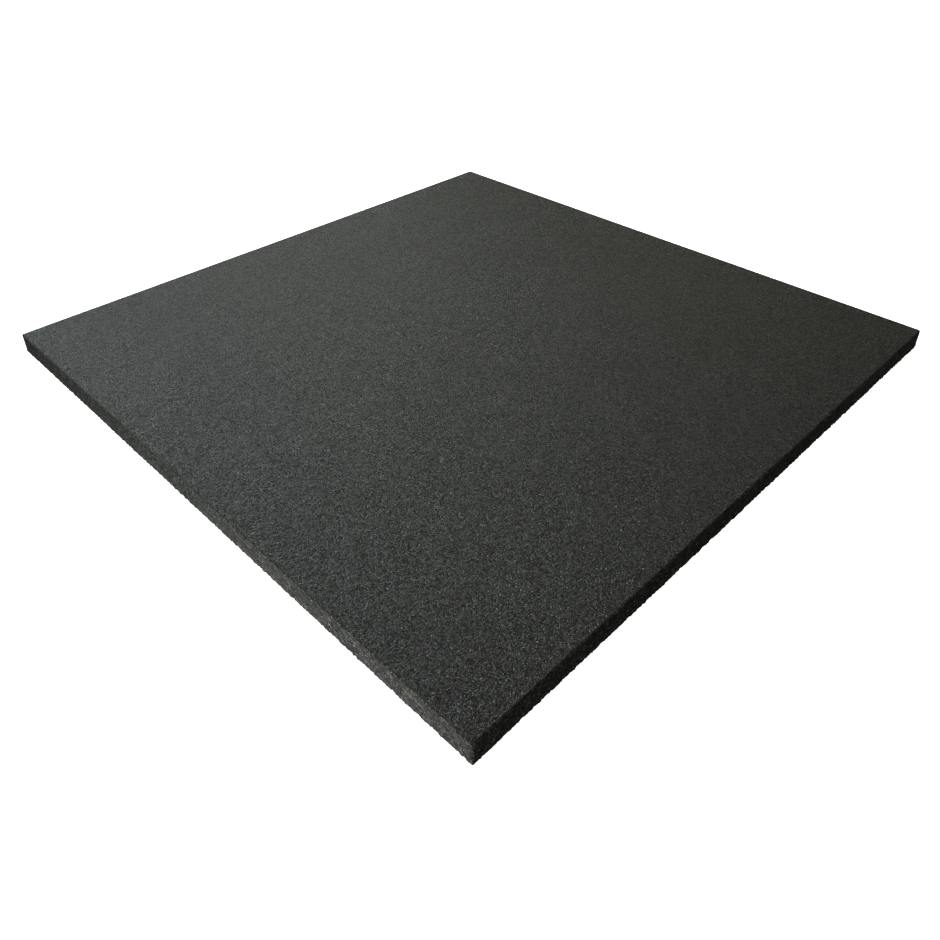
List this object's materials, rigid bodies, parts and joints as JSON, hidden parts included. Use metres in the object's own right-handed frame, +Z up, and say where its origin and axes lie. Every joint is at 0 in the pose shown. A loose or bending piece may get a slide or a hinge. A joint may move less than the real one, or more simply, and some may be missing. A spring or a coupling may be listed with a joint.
{
  "type": "rubber gym floor tile",
  "caption": "Square black rubber gym floor tile, pressed in one piece from fine granulate, with a flat walking face and straight sides that butt against the next tile.",
  "frame": {"origin": "centre of the underside, so the tile lies on the plane z = 0", "axes": "+Z up through the thickness, out of the walking face; +X and +Y square to the sides"},
  "size_m": [1, 1, 0.03],
  "materials": {
    "black_rubber": "matte"
  },
  "bodies": {
    "root": {"rubber_tile": "black_rubber"}
  },
  "joints": []
}
